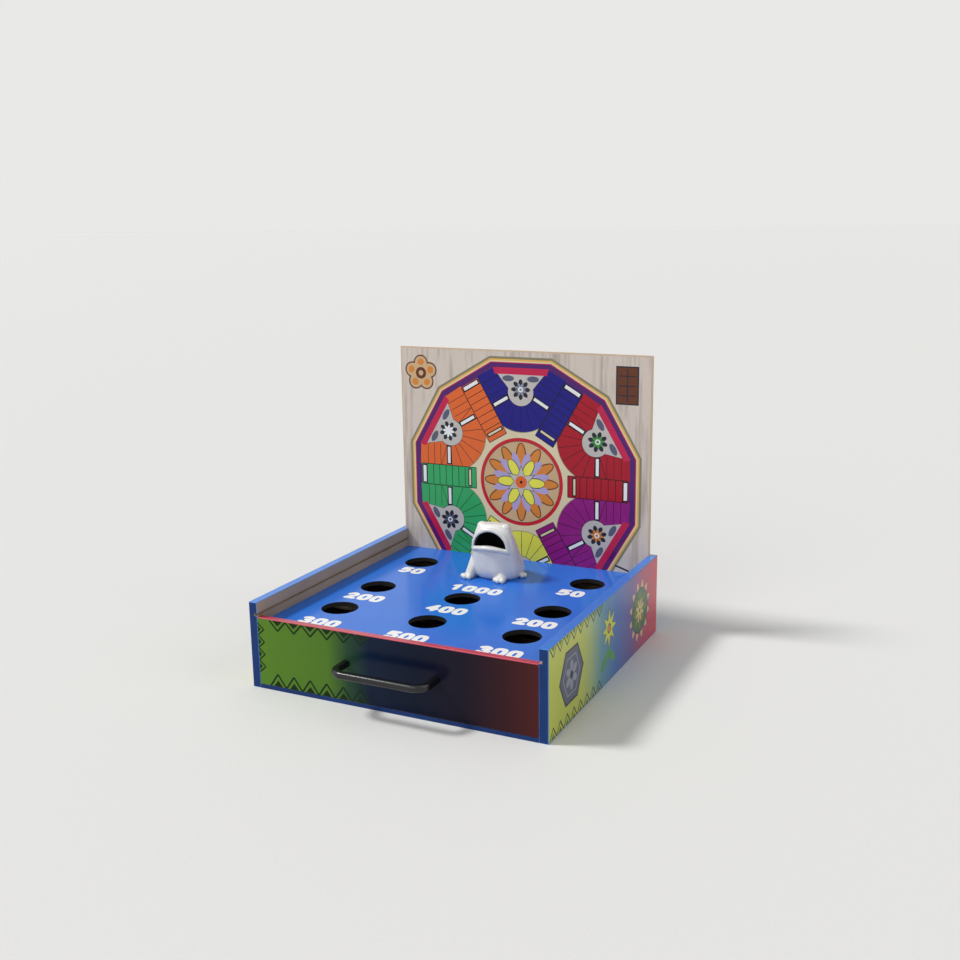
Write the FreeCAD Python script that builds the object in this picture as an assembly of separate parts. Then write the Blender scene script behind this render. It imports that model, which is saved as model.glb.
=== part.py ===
"""Frog toss game in a flat wooden box, with a six-player board that stands behind the deck.

Millimetres. The origin is the centre of the box's footprint on the table, +Z is up, and the player
stands on the -Y side. The box is shown set up for play: drawer shut, board upright, frog on its hole.
"""
import math
import os

import FreeCAD
import Part
from FreeCAD import Vector

# Box
box_width = 420.0
box_depth = 410.0
box_height = 117.0
side_thickness = 12.0
panel_thickness = 9.0          # drawer front and back panel
bottom_thickness = 6.0
inner_back_thickness = 6.0
print_thickness = 0.25         # printed vinyl skin
print_margin = 1.0             # skins on the sides stop this far from the panel's edges

# Board that is the backboard in play and the lid in transit
board_thickness = 3.0
board_print_margin = 2.3
groove_depth = 4.5
board_edge_gap = 0.5           # between the board's edge and the bottom of a groove
groove_play = 0.65             # groove height over board and skin
lid_recess = 14.6              # top edge of the sides down to the top of the lid groove
lid_gap = 0.7                  # lid over the drawer front

# Deck
lip_height = 9.8               # drawer front above the deck
deck_thickness = 6.0
deck_front_gap = 0.3
deck_print_gap = 0.3           # deck skin to the side panels
cleat_size = 12.0
hole_diameter = 50.0
hole_side_inset = 64.0         # outer hole centres from the side panels
hole_front_inset = 88.0        # front hole centres from the drawer front
hole_row_pitch = 100.0         # front row to middle row
hole_rear_inset = 72.1         # rear hole centres from the deck's rear edge

# Drawer
drawer_side_gap = 0.5
drawer_running_gap = 0.3
drawer_back_gap = 1.0
drawer_headroom = 2.5          # drawer sides under the deck cleats
drawer_wall = 6.0
drawer_bottom_thickness = 3.0
divider_thickness = 3.0
divider_drop = 1.5             # dividers below the drawer's top edge
lap_gap = 0.1

# Handle
handle_spacing = 128.0         # between the two screws
handle_projection = 40.0
handle_below_top = 41.8        # handle axis below the drawer front's top edge
handle_width = 10.0
handle_thickness = 9.0
handle_edge_radius = 3.2
handle_bend_radius = 16.0      # of the bar's middle line

# Fasteners
screw_radius = 2.0
screw_clearance = 0.25
screw_grip = 12.0              # length inside the handle leg
screw_head_radius = 4.0
screw_head_height = 2.5
screw_pocket_depth = 3.0
screw_pocket_gap = 0.5
thread_gap = 0.05
wood_screw_radius = 1.75
wood_screw_head_radius = 3.5
wood_screw_head_depth = 2.2
wood_screw_length = 32.0
wood_screw_inset = 25.0        # from the back panel's top and bottom edges
nail_radius = 0.8
bottom_nail_length = 28.0
bottom_nail_count = 5
bottom_nail_inset = 25.0
drawer_nail_length = 22.0
drawer_nail_inset = 11.0       # from the top and bottom of the drawer side

# Frog, a hollow casting that stands over the rear middle hole
frog_wall = 4.0
chest_reach = 43.0             # front of the chest ahead of the hole's centre
mouth_width = 48.0
mouth_height = 23.2
mouth_floor = 48.0             # above the deck
mouth_bulge = 3.8              # how far the lower lip bows up
mouth_depth = 26.0             # how far back the mouth is open, from the frog's front
upper_lip_radius = 3.5
upper_lip_tail = 2.5           # how far its ends run down below the mouth corners
lower_lip_radius = 3.6
lip_outset = 0.8               # middle of a lip out from the mouth's edge, over its radius
lip_ball_ratio = 1.02          # ball at each end of a lip, over the lip's own radius
lip_stand_off = 0.5            # middle of the lower lip in front of the chest
lip_corner_setback = 36.0      # mouth corners in front of the hole's centre
lip_top_setback = 37.5
eye_radius = 7.6
eye_spacing = 37.0
eye_height = 75.2
eye_setback = 24.5             # eye centres in front of the hole's centre
shoulder_radius = 10.5
shoulder_rise = 24.0           # shoulder over the ankle
shoulder_pull = 15.0           # shoulder behind the ankle
shoulder_inset = 7.0           # shoulder nearer to the middle than the ankle
ankle_radius = 7.0
toe_radius = 3.8
front_toe_length = 9.5
hind_ankle_spread = 33.0
hind_ankle_setback = 5.0
hind_toe_length = 6.5
peg_radius = 2.5
peg_gap = 0.3                  # round the peg in the deck
peg_grip = 5.0                 # peg length inside the front foot

# Loose game pieces in the drawer
disc_diameter = 40.0
disc_thickness = 5.0
disc_edge = 0.8
disc_stack = 3
disc_stack_pitch = 56.0
counter_diameter = 14.0
counter_height = 8.0
counter_round = 2.6
counter_pitch = 20.0
counters_per_colour = 4
die_size = 12.0
die_round = 1.6
die_pitch = 22.0

# Places that follow from the sizes
half_width = box_width / 2
half_depth = box_depth / 2
inner_half = half_width - side_thickness
front_inner_y = -half_depth + panel_thickness
back_inner_y = half_depth - panel_thickness
groove_height = board_thickness + print_thickness + groove_play
groove_top = box_height - lid_recess
groove_bottom = groove_top - groove_height
front_top = groove_bottom - lid_gap
deck_top = front_top - lip_height
deck_bottom = deck_top - deck_thickness
slot_front_y = back_inner_y - groove_height
inner_back_y = slot_front_y - inner_back_thickness
board_half_width = inner_half + groove_depth - board_edge_gap
board_height = box_depth - panel_thickness
board_back_y = back_inner_y - groove_play / 2
board_front_y = board_back_y - board_thickness

hole_radius = hole_diameter / 2
hole_column = inner_half - hole_side_inset
front_row_y = front_inner_y + hole_front_inset
middle_row_y = front_row_y + hole_row_pitch
rear_row_y = slot_front_y - hole_rear_inset
column_centres = (-hole_column, 0.0, hole_column)
row_centres = (front_row_y, middle_row_y, rear_row_y)

drawer_half = inner_half - drawer_side_gap
drawer_inner_half = drawer_half - drawer_wall
drawer_underside = bottom_thickness + drawer_running_gap
drawer_floor = drawer_underside + drawer_bottom_thickness
drawer_top = deck_bottom - cleat_size - drawer_headroom
drawer_back_y = inner_back_y - drawer_back_gap
drawer_inner_back_y = drawer_back_y - drawer_wall
divider_top = drawer_top - divider_drop
divider_middle = (drawer_floor + divider_top) / 2
divider_columns = (-hole_column / 2, hole_column / 2)
divider_rows = ((front_row_y + middle_row_y) / 2, (middle_row_y + rear_row_y) / 2)

handle_z = front_top - handle_below_top
front_skin_y = -half_depth - print_thickness
frog_base = deck_top + print_thickness

# Front feet: side, ankle out from the middle and in front of the hole's centre, toe angles turned
# outward from straight ahead. The left foot stands out to the side, the right one before the chest.
front_feet = (
    (-1, 33.5, 38.5, (-20.0, 20.0, 58.0)),
    (1, 17.5, 38.0, (-50.0, -10.0, 30.0)),
)
hind_toe_angles = (40.0, 80.0)
peg_centres = [(side * spread, rear_row_y - setback) for side, spread, setback, angles in front_feet]


def block(x0, x1, y0, y1, z0, z1):
    """Box between two corners."""
    return Part.makeBox(x1 - x0, y1 - y0, z1 - z0, Vector(x0, y0, z0))


def rod(radius, start, direction, length):
    """Round bar from a start point."""
    return Part.makeCylinder(radius, length, Vector(*start), Vector(*direction))


def row(count, first, last):
    """Evenly spaced places, both ends included."""
    return [first + (last - first) * i / (count - 1) for i in range(count)]


def group(solids):
    """Several separate solids as one node."""
    return Part.makeCompound(solids)


# Fasteners and the holes that they need

def back_screw(side, z, gap):
    """Countersunk wood screw through a side panel into the back panel's edge."""
    y = (back_inner_y + half_depth) / 2
    start = (side * half_width, y, z)
    inward = (-side, 0, 0)
    head = Part.makeCone(wood_screw_head_radius + gap, wood_screw_radius + gap, wood_screw_head_depth,
                         Vector(*start), Vector(*inward))
    return head.fuse(rod(wood_screw_radius + gap, start, inward, wood_screw_length + gap))


def back_screws(gap=0.0):
    heights = (wood_screw_inset, box_height - wood_screw_inset)
    return [back_screw(side, z, gap) for side in (-1, 1) for z in heights]


def bottom_nails(gap=0.0):
    """Nails through the side panels into the bottom panel's edges."""
    places = row(bottom_nail_count, -half_depth + bottom_nail_inset, back_inner_y - bottom_nail_inset)
    return [rod(nail_radius + gap, (side * half_width, y, bottom_thickness / 2), (-side, 0, 0),
                bottom_nail_length + gap) for side in (-1, 1) for y in places]


def drawer_nails(gap=0.0):
    """Nails at the four corners of the drawer, into the back's ends and the sides' front ends."""
    nails = []
    for side in (-1, 1):
        for z in (drawer_floor + drawer_nail_inset, drawer_top - drawer_nail_inset):
            back_start = (side * drawer_half, drawer_back_y - drawer_wall / 2, z)
            front_start = (side * (drawer_half - drawer_wall / 2), -half_depth, z)
            nails.append(rod(nail_radius + gap, back_start, (-side, 0, 0), drawer_nail_length + gap))
            nails.append(rod(nail_radius + gap, front_start, (0, 1, 0), drawer_nail_length + gap))
    return nails


def handle_screw(x):
    """Pan head screw from inside the drawer, through the front and into the handle's leg."""
    seat_y = front_inner_y - screw_pocket_depth
    tip_y = front_skin_y - screw_grip
    shank = rod(screw_radius, (x, tip_y, handle_z), (0, 1, 0), seat_y - tip_y)
    return shank.fuse(rod(screw_head_radius, (x, seat_y, handle_z), (0, 1, 0), screw_head_height))


# Box

def cut_holes(panel, solids):
    """Panel less each fastener or hole solid."""
    for solid in solids:
        panel = panel.cut(solid)
    return panel


def side_panel(side):
    inner = side * inner_half
    outer = side * half_width
    floor_x = side * (inner_half + groove_depth)
    panel = block(min(inner, outer), max(inner, outer), -half_depth, half_depth, 0, box_height)
    groove = block(min(inner, floor_x), max(inner, floor_x), -half_depth, back_inner_y,
                   groove_bottom, groove_top)
    slot = block(min(inner, floor_x), max(inner, floor_x), slot_front_y, back_inner_y,
                 bottom_thickness, box_height)
    return cut_holes(panel.cut(groove).cut(slot), back_screws(thread_gap) + bottom_nails(thread_gap))


def bottom_panel():
    panel = block(-inner_half, inner_half, -half_depth, back_inner_y, 0, bottom_thickness)
    return cut_holes(panel, bottom_nails(thread_gap))


def back_panel():
    panel = block(-inner_half, inner_half, back_inner_y, half_depth, 0, box_height)
    return cut_holes(panel, back_screws(thread_gap))


def inner_back_panel():
    return block(-inner_half, inner_half, inner_back_y, slot_front_y, bottom_thickness, deck_bottom)


def deck_cleat(side):
    inner = side * (inner_half - cleat_size)
    outer = side * inner_half
    return block(min(inner, outer), max(inner, outer), front_inner_y + deck_front_gap, inner_back_y,
                 deck_bottom - cleat_size, deck_bottom)


def deck_openings(z0, z1):
    """The nine disc holes and the two peg holes, as solids from z0 to z1."""
    discs = [rod(hole_radius, (x, y, z0), (0, 0, 1), z1 - z0) for x in column_centres for y in row_centres]
    pegs = [rod(peg_radius + peg_gap, (x, y, z0), (0, 0, 1), z1 - z0) for x, y in peg_centres]
    return discs + pegs


def deck_panel():
    panel = block(-inner_half, inner_half, front_inner_y + deck_front_gap, slot_front_y,
                  deck_bottom, deck_top)
    return cut_holes(panel, deck_openings(deck_bottom - 1, deck_top + 1))


def deck_print():
    skin = block(-inner_half + deck_print_gap, inner_half - deck_print_gap,
                 front_inner_y + deck_front_gap, slot_front_y, deck_top, frog_base)
    return cut_holes(skin, deck_openings(deck_top - 1, frog_base + 1))


def side_print(side):
    face = side * half_width
    proud = side * (half_width + print_thickness)
    return block(min(face, proud), max(face, proud), -half_depth + print_margin, half_depth - print_margin,
                 print_margin, box_height - print_margin)


# Drawer

def drawer_front():
    panel = block(-drawer_half, drawer_half, -half_depth, front_inner_y, drawer_underside, front_top)
    for x in (-handle_spacing / 2, handle_spacing / 2):
        panel = panel.cut(rod(screw_radius + screw_clearance, (x, -half_depth, handle_z), (0, 1, 0),
                              panel_thickness))
        panel = panel.cut(rod(screw_head_radius + screw_pocket_gap,
                              (x, front_inner_y - screw_pocket_depth, handle_z), (0, 1, 0),
                              screw_pocket_depth))
    return cut_holes(panel, drawer_nails(thread_gap))


def front_print():
    skin = block(-drawer_half, drawer_half, front_skin_y, -half_depth, drawer_underside, front_top)
    for x in (-handle_spacing / 2, handle_spacing / 2):
        skin = skin.cut(rod(screw_radius + screw_clearance, (x, front_skin_y, handle_z), (0, 1, 0),
                            print_thickness))
    return skin


def drawer_side(side):
    inner = side * drawer_inner_half
    outer = side * drawer_half
    panel = block(min(inner, outer), max(inner, outer), front_inner_y, drawer_back_y,
                  drawer_floor, drawer_top)
    return cut_holes(panel, drawer_nails(thread_gap))


def drawer_back():
    panel = block(-drawer_inner_half, drawer_inner_half, drawer_inner_back_y, drawer_back_y,
                  drawer_floor, drawer_top)
    return cut_holes(panel, drawer_nails(thread_gap))


def drawer_bottom():
    return block(-drawer_half, drawer_half, front_inner_y, drawer_back_y, drawer_underside, drawer_floor)


def lengthwise_divider(x):
    """Divider from front to back, slotted from above where the cross dividers drop in."""
    half = divider_thickness / 2
    strip = block(x - half, x + half, front_inner_y, drawer_inner_back_y, drawer_floor, divider_top)
    for y in divider_rows:
        strip = strip.cut(block(x - half, x + half, y - half - lap_gap, y + half + lap_gap,
                                divider_middle, divider_top))
    return strip


def cross_divider(y):
    """Divider from side to side, slotted from below over the lengthwise dividers."""
    half = divider_thickness / 2
    strip = block(-drawer_inner_half, drawer_inner_half, y - half, y + half, drawer_floor, divider_top)
    for x in divider_columns:
        strip = strip.cut(block(x - half - lap_gap, x + half + lap_gap, y - half, y + half,
                                drawer_floor, divider_middle))
    return strip


def rounded_section(width, height, radius):
    """Rounded rectangle in the XZ plane round the origin, as a closed wire."""
    a = width / 2
    b = height / 2
    c = radius * (1 - math.sqrt(0.5))
    corners = [(a, b), (-a, b), (-a, -b), (a, -b)]
    edges = []
    for i, (x, z) in enumerate(corners):
        sx = math.copysign(1, x)
        sz = math.copysign(1, z)
        beside = Vector(x, 0, z - sz * radius)
        above = Vector(x - sx * radius, 0, z)
        first, last = (beside, above) if i % 2 == 0 else (above, beside)
        edges.append(Part.Arc(first, Vector(x - sx * c, 0, z - sz * c), last).toShape())
    loop = []
    for i, edge in enumerate(edges):
        following = edges[(i + 1) % 4]
        loop.append(edge)
        loop.append(Part.LineSegment(edge.lastVertex().Point, following.firstVertex().Point).toShape())
    return Part.Wire(loop)


def pull_handle():
    """Bow of rounded bar, its two legs square to the drawer front."""
    x = handle_spacing / 2
    bar_y = front_skin_y - handle_projection + handle_width / 2
    r = handle_bend_radius
    k = r * (1 - math.sqrt(0.5))
    points = [Vector(-x, front_skin_y, handle_z), Vector(-x, bar_y + r, handle_z),
              Vector(-x + r, bar_y, handle_z), Vector(x - r, bar_y, handle_z),
              Vector(x, bar_y + r, handle_z), Vector(x, front_skin_y, handle_z)]
    path = Part.Wire([
        Part.LineSegment(points[0], points[1]).toShape(),
        Part.Arc(points[1], Vector(-x + k, bar_y + k, handle_z), points[2]).toShape(),
        Part.LineSegment(points[2], points[3]).toShape(),
        Part.Arc(points[3], Vector(x - k, bar_y + k, handle_z), points[4]).toShape(),
        Part.LineSegment(points[4], points[5]).toShape()])
    section = rounded_section(handle_width, handle_thickness, handle_edge_radius)
    section.translate(points[0])
    bow = path.makePipeShell([section], True, False)
    for side in (-1, 1):
        bow = bow.cut(rod(screw_radius + thread_gap, (side * x, front_skin_y - screw_grip, handle_z),
                          (0, 1, 0), screw_grip))
    return bow


# Loose game pieces

def bay_centre(column, line):
    """Middle of a drawer compartment."""
    x_walls = (-drawer_inner_half,) + divider_columns + (drawer_inner_half,)
    y_walls = (front_inner_y,) + divider_rows + (drawer_inner_back_y,)
    return (x_walls[column] + x_walls[column + 1]) / 2, (y_walls[line] + y_walls[line + 1]) / 2


def tossing_discs():
    """Two stacks of brass discs in the front middle compartment."""
    x_mid, y_mid = bay_centre(1, 0)
    discs = []
    for side in (-1, 1):
        for level in range(disc_stack):
            disc = rod(disc_diameter / 2, (x_mid + side * disc_stack_pitch / 2, y_mid,
                       drawer_floor + level * disc_thickness), (0, 0, 1), disc_thickness)
            discs.append(disc.makeChamfer(disc_edge, disc.Edges))
    return group(discs)


def counters(column, side):
    """Four domed counters of one colour in a rear compartment, in a line from front to back."""
    x_mid, y_mid = bay_centre(column, 2)
    span = counter_pitch * (counters_per_colour - 1) / 2
    pieces = []
    for y in row(counters_per_colour, y_mid - span, y_mid + span):
        piece = rod(counter_diameter / 2, (x_mid + side * counter_pitch / 2, y, drawer_floor), (0, 0, 1),
                    counter_height)
        top = [edge for edge in piece.Edges if edge.BoundBox.ZMin > drawer_floor + counter_height / 2]
        pieces.append(piece.makeFillet(counter_round, top))
    return group(pieces)


def dice():
    x_mid, y_mid = bay_centre(0, 0)
    pieces = []
    for side in (-1, 1):
        x = x_mid + side * die_pitch / 2
        cube = block(x - die_size / 2, x + die_size / 2, y_mid - die_size / 2, y_mid + die_size / 2,
                     drawer_floor, drawer_floor + die_size)
        pieces.append(cube.makeFillet(die_round, cube.Edges))
    return group(pieces)


# Backboard

def backboard():
    return block(-board_half_width, board_half_width, board_front_y, board_back_y,
                 bottom_thickness, bottom_thickness + board_height)


def board_print():
    m = board_print_margin
    return block(-board_half_width + m, board_half_width - m, board_front_y - print_thickness, board_front_y,
                 bottom_thickness + m, bottom_thickness + board_height - m)


# Frog. Its own coordinates start at the hole's centre on the deck.
# Each level: height, front and rear of the body, half width at its front and at its rear.

frog_levels = (
    (0.0, -34.5, 24.5, 31.5, 32.5),
    (4.0, -39.5, 25.5, 35.5, 35.0),
    (12.0, -42.5, 24.5, 38.0, 35.8),
    (28.0, -chest_reach, 17.5, 38.5, 32.0),
    (44.0, -chest_reach, 9.0, 37.5, 28.5),
    (57.0, -42.0, 2.5, 35.0, 25.5),
    (66.5, -40.0, -3.0, 32.5, 22.5),
    (74.0, -37.0, -8.0, 29.5, 19.5),
    (79.0, -33.0, -12.5, 25.5, 16.5),
    (81.5, -28.0, -17.5, 16.5, 9.5),
)
plan_points = 16
plan_power = 2.5               # over 2 squares the body's corners


def signed_power(value, power):
    return math.copysign(abs(value) ** power, value)


def body_plan(level, inset, z):
    """Closed curve round the body at one level, pulled in by inset."""
    front = level[1] + inset
    rear = level[2] - inset
    points = []
    for i in range(plan_points):
        angle = 2 * math.pi * i / plan_points
        u = signed_power(math.cos(angle), 2 / plan_power)
        v = signed_power(math.sin(angle), 2 / plan_power)
        half = level[3] + (level[4] - level[3]) * (v + 1) / 2 - inset
        points.append(Vector(u * half, rear_row_y + (front + rear) / 2 + v * (rear - front) / 2,
                             frog_base + z))
    curve = Part.BSplineCurve()
    curve.interpolate(Points=points, PeriodicFlag=True)
    return Part.Wire(curve.toShape())


def body_shell(inset):
    """Solid body, or with an inset the space inside it, which runs out through the base."""
    wires = []
    for level in frog_levels:
        if level[2] - level[1] <= 2 * inset + 4 or level[3] <= inset + 2:
            continue
        scale = (frog_levels[-1][0] - inset) / frog_levels[-1][0]
        wires.append(body_plan(level, inset, level[0] * scale))
    return Part.makeLoft(wires, True, False)


def mouth_arch(grow):
    """Points along the top of the mouth, widened by grow, in the leaning plane of the lips."""
    steps = 8
    half = mouth_width / 2 + grow
    height = mouth_height + grow
    lean = lip_top_setback - lip_corner_setback
    points = []
    for i in range(steps + 1):
        angle = math.pi * i / steps
        points.append(Vector(half * math.cos(angle),
                             rear_row_y - lip_corner_setback - lean * math.sin(angle),
                             frog_base + mouth_floor + height * math.sin(angle)))
    return points


def mouth_prism():
    """The half moon of the mouth run back from in front of the frog to the mouth's depth."""
    front_y = rear_row_y - chest_reach
    arch = [Vector(point.x, front_y - lower_lip_radius, point.z) for point in mouth_arch(0.0)]
    curve = Part.BSplineCurve()
    curve.interpolate(Points=arch)
    middle = Vector(0, arch[0].y, frog_base + mouth_floor + mouth_bulge)
    lower = Part.Arc(arch[-1], middle, arch[0])
    face = Part.Face(Part.Wire([curve.toShape(), lower.toShape()]))
    return face.extrude(Vector(0, lower_lip_radius + mouth_depth, 0))


def lip_roll(curve, radius):
    """Round bar along one lip, with a ball at each mouth corner."""
    edge = curve.toShape()
    start = curve.value(curve.FirstParameter)
    ahead = curve.tangent(curve.FirstParameter)[0]
    section = Part.Wire(Part.Circle(start, ahead, radius).toShape())
    roll = Part.Wire(edge).makePipeShell([section], True, False)
    for vertex in edge.Vertexes:
        roll = roll.fuse(Part.makeSphere(radius * lip_ball_ratio, vertex.Point))
    return roll


def upper_lip():
    """Rim over the mouth, its ends run on below the mouth corners."""
    arch = mouth_arch(upper_lip_radius * lip_outset)
    tail = Vector(0, 0, -upper_lip_tail)
    curve = Part.BSplineCurve()
    curve.interpolate(Points=[arch[0] + tail] + arch + [arch[-1] + tail])
    return lip_roll(curve, upper_lip_radius)


def lower_lip():
    drop = Vector(0, 0, -lower_lip_radius)
    corners = mouth_arch(upper_lip_radius * lip_outset)
    middle = Vector(0, rear_row_y - chest_reach - lip_stand_off, frog_base + mouth_floor + mouth_bulge)
    return lip_roll(Part.Arc(corners[-1] + drop, middle + drop, corners[0] + drop), lower_lip_radius)


def limb(start, start_radius, end, end_radius):
    """Tapered limb between two balls."""
    along = end - start
    shape = Part.makeCone(start_radius, end_radius, along.Length, start, along)
    shape = shape.fuse(Part.makeSphere(start_radius, start))
    return shape.fuse(Part.makeSphere(end_radius, end))


def toes(ankle, side, length, angles):
    """Round toes spread from the ankle; angles turn outward from straight ahead."""
    shape = None
    for degrees in angles:
        turn = math.radians(degrees)
        tip = ankle + Vector(side * math.sin(turn), -math.cos(turn), 0) * length
        toe = limb(ankle, toe_radius, tip, toe_radius * 0.99)
        shape = shape.fuse(toe) if shape else toe
    return shape


def front_leg(side, spread, setback, angles):
    ankle = Vector(side * spread, rear_row_y - setback, frog_base + toe_radius * 0.9)
    shoulder = ankle + Vector(-side * shoulder_inset, shoulder_pull, shoulder_rise)
    leg = limb(shoulder, shoulder_radius, ankle, ankle_radius)
    return leg.fuse(toes(ankle, side, front_toe_length, angles))


def hind_foot(side):
    ankle = Vector(side * hind_ankle_spread, rear_row_y - hind_ankle_setback,
                   frog_base + toe_radius * 0.9)
    return toes(ankle, side, hind_toe_length, hind_toe_angles)


def frog_body():
    frog = body_shell(0.0)
    for side in (-1, 1):
        frog = frog.fuse(Part.makeSphere(eye_radius, Vector(side * eye_spacing / 2,
                                         rear_row_y - eye_setback, frog_base + eye_height)))
        frog = frog.fuse(hind_foot(side))
    for foot in front_feet:
        frog = frog.fuse(front_leg(*foot))
    frog = frog.cut(body_shell(frog_wall)).cut(mouth_prism())
    frog = frog.fuse(upper_lip()).fuse(lower_lip())
    for x, y in peg_centres:
        frog = frog.cut(rod(peg_radius + thread_gap, (x, y, frog_base), (0, 0, 1), peg_grip))
    below = block(-half_width, half_width, -half_depth, half_depth, frog_base - ankle_radius, frog_base)
    return frog.cut(below)


def frog_pegs():
    """Two pegs pressed into the front feet, which drop into holes in the deck."""
    base = frog_base - deck_thickness
    return group([rod(peg_radius, (x, y, base), (0, 0, 1), deck_thickness + peg_grip)
                  for x, y in peg_centres])


parts = {
    "bottom_panel": bottom_panel(),
    "side_panel_left": side_panel(-1),
    "side_panel_right": side_panel(1),
    "back_panel": back_panel(),
    "inner_back_panel": inner_back_panel(),
    "deck_cleat_left": deck_cleat(-1),
    "deck_cleat_right": deck_cleat(1),
    "deck_panel": deck_panel(),
    "deck_print": deck_print(),
    "side_print_left": side_print(-1),
    "side_print_right": side_print(1),
    "back_screws": group(back_screws()),
    "bottom_nails": group(bottom_nails()),
    "drawer_front": drawer_front(),
    "front_print": front_print(),
    "drawer_side_left": drawer_side(-1),
    "drawer_side_right": drawer_side(1),
    "drawer_back": drawer_back(),
    "drawer_bottom": drawer_bottom(),
    "lengthwise_divider_left": lengthwise_divider(divider_columns[0]),
    "lengthwise_divider_right": lengthwise_divider(divider_columns[1]),
    "cross_divider_front": cross_divider(divider_rows[0]),
    "cross_divider_rear": cross_divider(divider_rows[1]),
    "pull_handle": pull_handle(),
    "handle_screws": group([handle_screw(-handle_spacing / 2), handle_screw(handle_spacing / 2)]),
    "drawer_nails": group(drawer_nails()),
    "tossing_discs": tossing_discs(),
    "counters_red": counters(0, -1),
    "counters_orange": counters(0, 1),
    "counters_yellow": counters(1, -1),
    "counters_green": counters(1, 1),
    "counters_blue": counters(2, -1),
    "counters_purple": counters(2, 1),
    "dice": dice(),
    "backboard": backboard(),
    "board_print": board_print(),
    "frog_body": frog_body(),
    "frog_pegs": frog_pegs(),
}

os.makedirs("parts", exist_ok=True)
for name, shape in parts.items():
    shape.exportStep("parts/" + name + ".step")
    print(f"{name:26s} solids {len(shape.Solids):3d}  valid {shape.isValid()}  volume {shape.Volume:12.1f}")
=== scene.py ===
"""Looks of the frog toss game, set up for play: drawer shut, board upright behind, frog on its hole.

Metres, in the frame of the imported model: the player stands on the -Y side, +Z is up.
"""
import math

import bmesh
import bpy
from mathutils import Matrix, Vector
from mathutils.bvhtree import BVHTree
from mathutils.geometry import delaunay_2d_cdt


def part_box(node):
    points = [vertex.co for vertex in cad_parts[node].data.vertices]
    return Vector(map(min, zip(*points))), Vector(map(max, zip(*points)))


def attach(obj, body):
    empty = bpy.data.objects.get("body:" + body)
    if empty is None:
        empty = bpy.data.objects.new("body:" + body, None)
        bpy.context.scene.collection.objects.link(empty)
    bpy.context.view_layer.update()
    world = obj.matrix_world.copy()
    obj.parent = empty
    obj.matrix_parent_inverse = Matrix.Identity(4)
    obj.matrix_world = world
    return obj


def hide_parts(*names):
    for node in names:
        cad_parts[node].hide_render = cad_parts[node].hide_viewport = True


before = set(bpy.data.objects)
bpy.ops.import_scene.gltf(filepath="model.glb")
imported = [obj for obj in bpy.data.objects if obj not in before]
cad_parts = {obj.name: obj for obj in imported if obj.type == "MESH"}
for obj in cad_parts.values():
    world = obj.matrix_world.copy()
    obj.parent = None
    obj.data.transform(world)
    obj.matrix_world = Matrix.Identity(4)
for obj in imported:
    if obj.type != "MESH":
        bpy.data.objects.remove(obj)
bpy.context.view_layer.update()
MM = 0.001


# Bottom panel
# A sheet of 6 mm MDF nailed between the sides. Only its front edge shows, in the deep blue of all the edges
# that face the player: the box's blue darkened as painted shade. The underside is left as sanded board.

def linear(code, share=1.0):
    """sRGB hex to linear red, green, blue, alpha; a share under 1 darkens it."""
    levels = [int(code[i:i + 2], 16) / 255 for i in (1, 3, 5)]
    return (*[share * (c / 12.92 if c <= 0.04045 else ((c + 0.055) / 1.055) ** 2.4) for c in levels], 1.0)


def add(tree, kind, inputs=None, **settings):
    """One shader node with its settings; an input is a value or another node's output."""
    node = tree.nodes.new(kind)
    for name, value in settings.items():
        setattr(node, name, value)
    for name, value in (inputs or {}).items():
        if isinstance(value, bpy.types.NodeSocket):
            tree.links.new(value, node.inputs[name])
        else:
            node.inputs[name].default_value = value
    return node


def finish_of(name, sockets):
    """New material: its tree, its shader and the place on the piece, in metres."""
    material = bpy.data.materials.new(name)
    material.use_nodes = True
    tree = material.node_tree
    shader = tree.nodes["Principled BSDF"]
    for socket, value in sockets.items():
        shader.inputs[socket].default_value = value
    place = add(tree, "ShaderNodeTexCoord").outputs["Object"]
    return material, tree, shader, place


def speckle(tree, place, grain_mm, detail=3.0, stretch=(1.0, 1.0, 1.0)):
    """Noise whose blotches are grain_mm wide; stretch lengthens them along an axis."""
    scaled = add(tree, "ShaderNodeVectorMath", {0: place, 1: [1 / s for s in stretch]},
                 operation="MULTIPLY").outputs["Vector"]
    return add(tree, "ShaderNodeTexNoise", {"Vector": scaled, "Scale": 1 / (grain_mm * MM),
                                            "Detail": detail}).outputs["Fac"]


def between(tree, factor, low, high, start=0.3, end=0.7):
    """Colour that goes from low to high as the factor goes from start to end, where noise mostly lies."""
    ramp = add(tree, "ShaderNodeValToRGB", {"Fac": factor})
    ramp.color_ramp.elements[0].position = start
    ramp.color_ramp.elements[1].position = end
    ramp.color_ramp.elements[0].color = low
    ramp.color_ramp.elements[1].color = high
    return ramp.outputs["Color"]


def level(tree, factor, low, high):
    """Number that goes from low to high with a noise."""
    return add(tree, "ShaderNodeMapRange", {"Value": factor, "From Min": 0.3, "From Max": 0.7,
                                            "To Min": low, "To Max": high}).outputs["Result"]


def surface(tree, shader, colour, roughness, height, depth_mm):
    """Gives a shader its colour, its roughness, unless that is even, and a bump of a real depth."""
    bump = add(tree, "ShaderNodeBump", {"Height": height, "Distance": depth_mm * MM, "Strength": 1.0})
    tree.links.new(colour, shader.inputs["Base Color"])
    if roughness:
        tree.links.new(roughness, shader.inputs["Roughness"])
    tree.links.new(bump.outputs["Normal"], shader.inputs["Normal"])


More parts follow.
